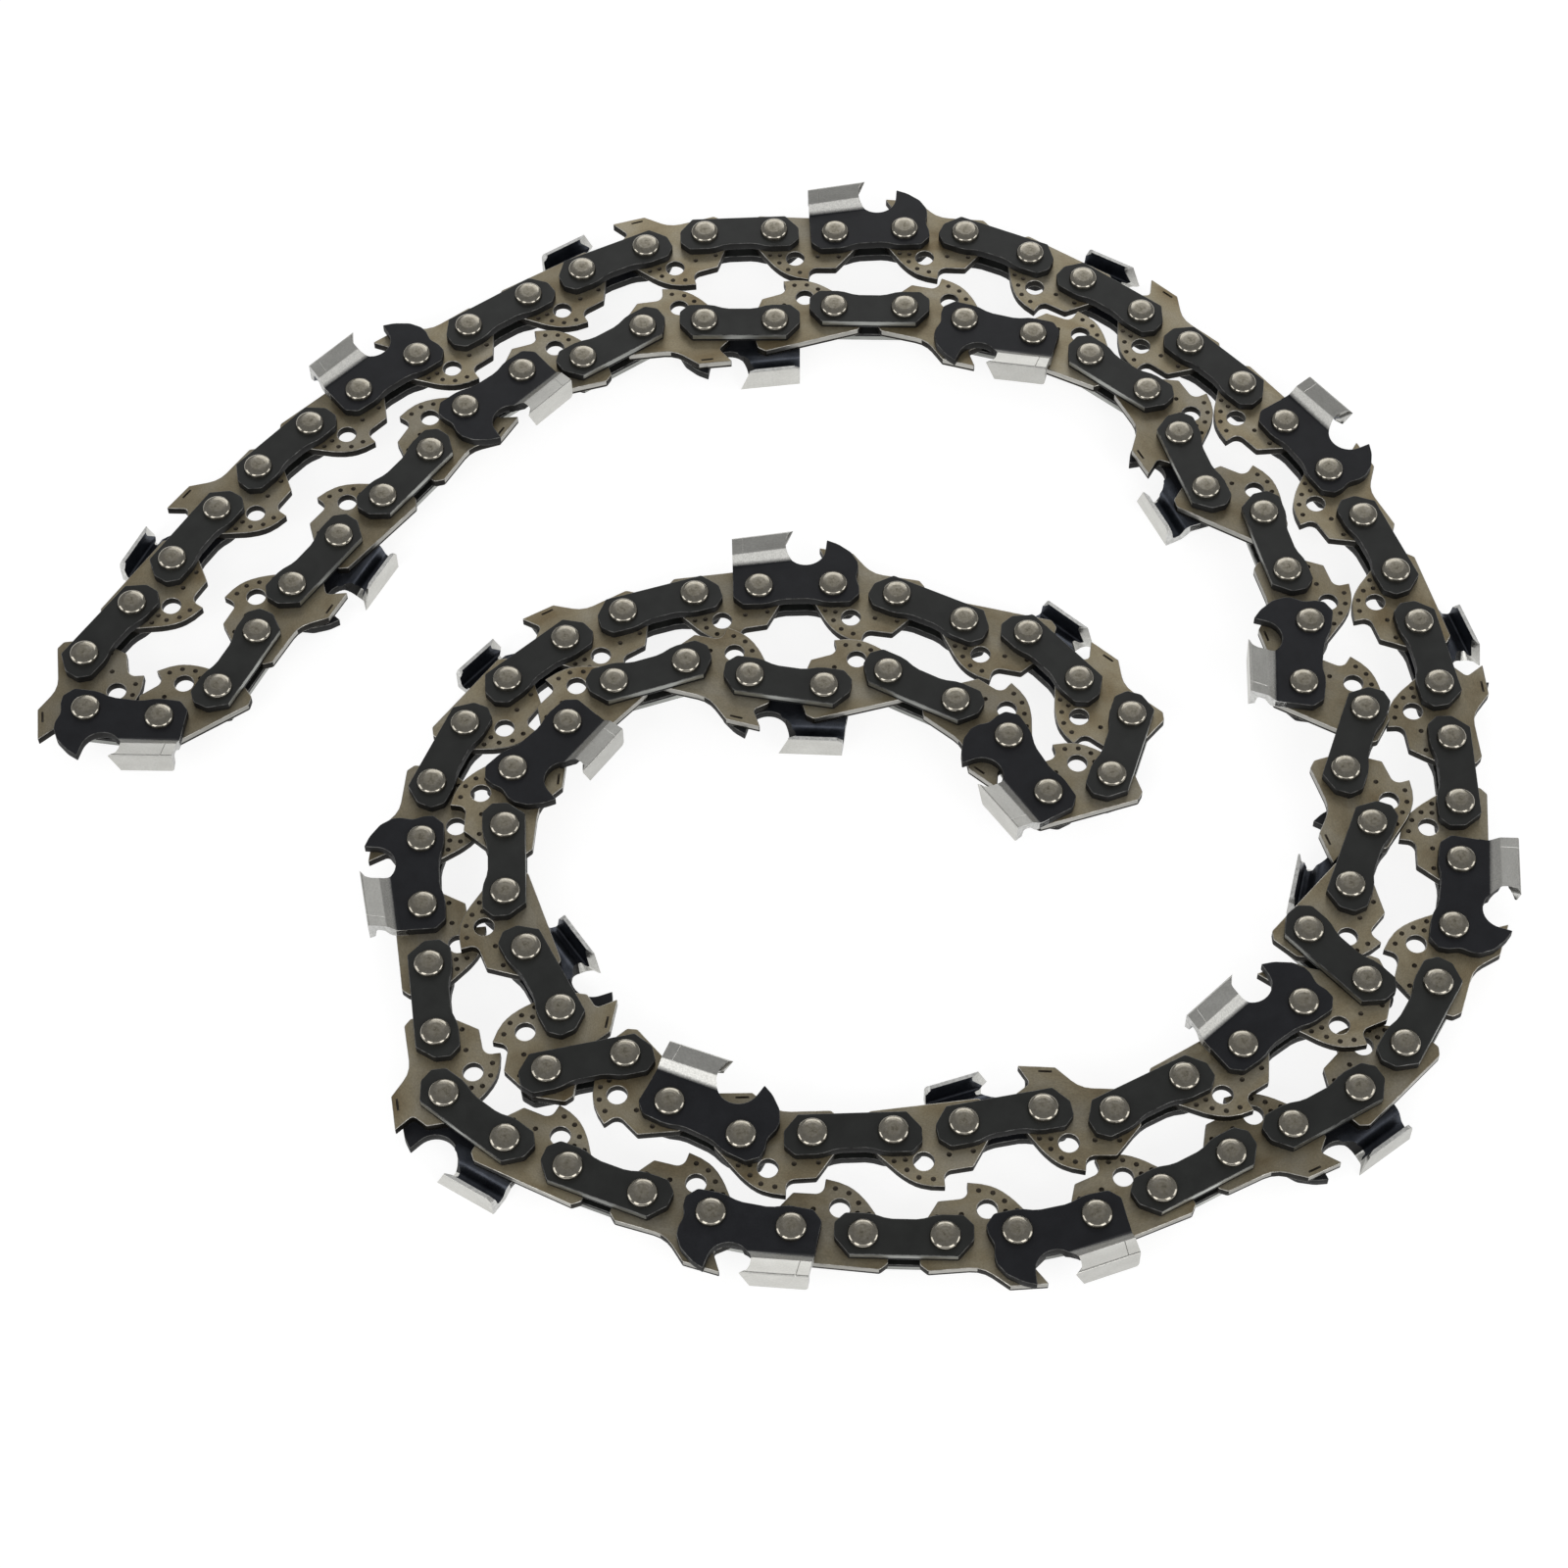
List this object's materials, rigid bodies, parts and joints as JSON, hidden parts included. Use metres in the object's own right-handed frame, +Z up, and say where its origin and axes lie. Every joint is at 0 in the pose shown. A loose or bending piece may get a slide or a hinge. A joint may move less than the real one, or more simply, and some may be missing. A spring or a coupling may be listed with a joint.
{
  "type": "chainsaw chain loop",
  "caption": "Closed low-profile saw chain lying curled on its side: hooked cutters, tie straps and finned drive links on peened rivets.",
  "frame": {"origin": "middle of the loop's outline, on the surface it lies on", "axes": "+Z up, across the chain's faces and along its rivets; +X and +Y in the surface it lies on"},
  "size_m": [0.1922, 0.173, 0.009],
  "materials": {
    "blued_steel": "blued, satin",
    "cutter_steel": "blued, with a satin plated tooth",
    "drive_link_steel": "bare, heat-tinted",
    "rivet_steel": "peened, satin"
  },
  "bodies": {
    "root": {"drive_links_01": "drive_link_steel", "drive_links_02": "drive_link_steel", "drive_links_03": "drive_link_steel", "drive_links_04": "drive_link_steel", "drive_links_05": "drive_link_steel", "drive_links_06": "drive_link_steel", "drive_links_07": "drive_link_steel", "drive_links_08": "drive_link_steel", "drive_links_09": "drive_link_steel", "drive_links_10": "drive_link_steel", "drive_links_11": "drive_link_steel", "drive_links_12": "drive_link_steel", "drive_links_13": "drive_link_steel", "left_cutter_01": "cutter_steel", "left_cutter_02": "cutter_steel", "left_cutter_03": "cutter_steel", "left_cutter_04": "cutter_steel", "left_cutter_05": "cutter_steel", "left_cutter_06": "cutter_steel", "left_cutter_07": "cutter_steel", "left_cutter_08": "cutter_steel", "left_cutter_09": "cutter_steel", "left_cutter_10": "cutter_steel", "left_cutter_11": "cutter_steel", "left_cutter_12": "cutter_steel", "left_cutter_13": "cutter_steel", "left_cutter_14": "cutter_steel", "left_cutter_15": "cutter_steel", "right_cutter_01": "cutter_steel", "right_cutter_02": "cutter_steel", "right_cutter_03": "cutter_steel", "right_cutter_04": "cutter_steel", "right_cutter_05": "cutter_steel", "right_cutter_06": "cutter_steel", "right_cutter_07": "cutter_steel", "right_cutter_08": "cutter_steel", "right_cutter_09": "cutter_steel", "right_cutter_10": "cutter_steel", "right_cutter_11": "cutter_steel", "right_cutter_12": "cutter_steel", "right_cutter_13": "cutter_steel", "right_cutter_14": "cutter_steel", "right_cutter_15": "cutter_steel", "right_cutter_16": "cutter_steel", "rivet_heads_lower": "rivet_steel", "rivet_heads_upper": "rivet_steel", "tie_straps_01": "blued_steel", "tie_straps_02": "blued_steel", "tie_straps_03": "blued_steel", "tie_straps_04": "blued_steel", "tie_straps_05": "blued_steel", "tie_straps_06": "blued_steel", "tie_straps_07": "blued_steel", "tie_straps_08": "blued_steel", "tie_straps_09": "blued_steel", "tie_straps_10": "blued_steel", "tie_straps_11": "blued_steel", "tie_straps_12": "blued_steel", "tie_straps_13": "blued_steel"}
  },
  "joints": []
}
